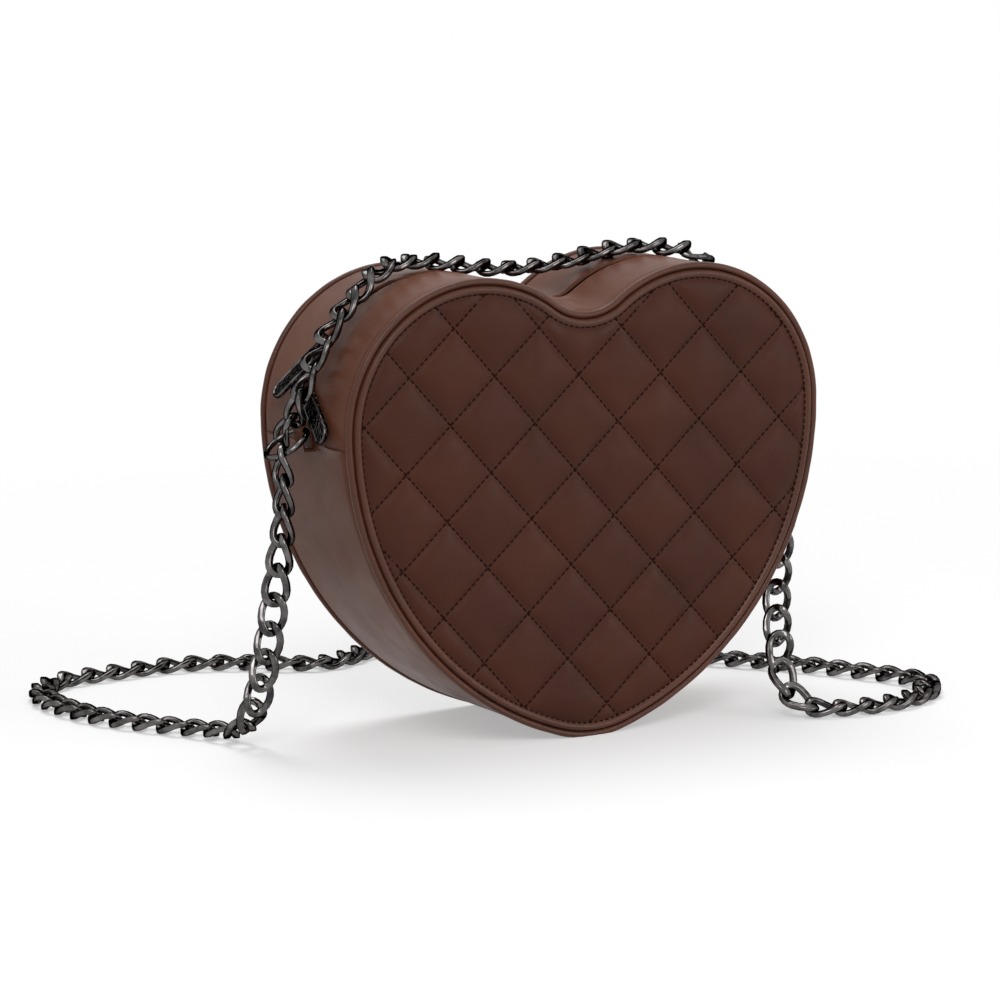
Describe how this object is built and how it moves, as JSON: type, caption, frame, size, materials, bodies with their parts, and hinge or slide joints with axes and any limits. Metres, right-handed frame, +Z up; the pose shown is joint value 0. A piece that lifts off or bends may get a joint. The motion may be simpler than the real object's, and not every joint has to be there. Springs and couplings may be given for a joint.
{
  "type": "heart shaped purse",
  "caption": "Boxy heart-shaped quilted leather purse with a zip over its top, hinged zip pulls, side rings, and a curb chain as handle and shoulder strap.",
  "frame": {"origin": "on the floor, under the middle of the bag", "axes": "+X to the right as seen from the quilted front, +Y to the rear, +Z up"},
  "size_m": [0.3166, 0.228, 0.1812],
  "materials": {
    "leather": "semi-matt brown",
    "foam": "open-cell foam",
    "board": "pressed fibre board",
    "lining": "woven polyester",
    "zip_tape": "woven tape",
    "zip_teeth": "moulded resin",
    "gunmetal": "polished, dark nickel plated"
  },
  "bodies": {
    "bag": {"chain_handle_left": "gunmetal", "chain_handle_right": "gunmetal", "chain_strap_left": "gunmetal", "chain_strap_right": "gunmetal", "front_board": "board", "front_lining": "lining", "front_padding": "foam", "front_panel": "leather", "front_piping": "leather", "left_tab": "leather", "lower_gusset": "leather", "lower_gusset_board": "board", "lower_gusset_lining": "lining", "rear_board": "board", "rear_lining": "lining", "rear_padding": "foam", "rear_panel": "leather", "rear_piping": "leather", "right_tab": "leather", "zip_gusset_front": "leather", "zip_gusset_lining_front": "lining", "zip_gusset_lining_rear": "lining", "zip_gusset_rear": "leather", "zip_stops": "zip_teeth", "zip_tape_front": "zip_tape", "zip_tape_rear": "zip_tape", "zip_teeth_front": "zip_teeth", "zip_teeth_rear": "zip_teeth"},
    "slider_a": {"slider_a": "gunmetal"},
    "pull_a": {"pull_a": "gunmetal"},
    "slider_b": {"slider_b": "gunmetal"},
    "pull_b": {"pull_b": "gunmetal"},
    "left_ring": {"left_ring": "gunmetal"},
    "right_ring": {"right_ring": "gunmetal"}
  },
  "joints": [
    {"name": "slider_a_travel", "type": "hinge", "parent": "bag", "child": "slider_a", "pos_m": [-0.0455, 0, 0.11975], "axis": [0, 1, 0], "range_deg": [0, 92], "deforming": ["chain_handle_left", "chain_handle_right"]},
    {"name": "pull_a_flip", "type": "hinge", "parent": "slider_a", "child": "pull_a", "pos_m": [-0.09085, 0, 0.15034], "axis": [0.3046, 0.8387, 0.4515], "range_deg": [0, 100], "deforming": ["chain_handle_left"]},
    {"name": "slider_b_travel", "type": "hinge", "parent": "bag", "child": "slider_b", "pos_m": [-0.0455, 0, 0.11975], "axis": [0, 1, 0], "range_deg": [0, 5], "deforming": ["chain_handle_left"]},
    {"name": "pull_b_flip", "type": "hinge", "parent": "slider_b", "child": "pull_b", "pos_m": [-0.09834, 0, 0.13391], "axis": [-0.212, 0.5736, -0.7912], "range_deg": [0, 95], "deforming": ["chain_handle_left"]},
    {"name": "left_ring_swing", "type": "hinge", "parent": "bag", "child": "left_ring", "pos_m": [-0.102, -0.0047, 0.11985], "axis": [0, 1, 0], "range_deg": [-60, 60], "deforming": ["chain_handle_left", "chain_strap_left"]},
    {"name": "right_ring_swing", "type": "hinge", "parent": "bag", "child": "right_ring", "pos_m": [0.102, -0.0047, 0.11985], "axis": [0, -1, 0], "range_deg": [-60, 60], "deforming": ["chain_handle_right", "chain_strap_right"]}
  ]
}
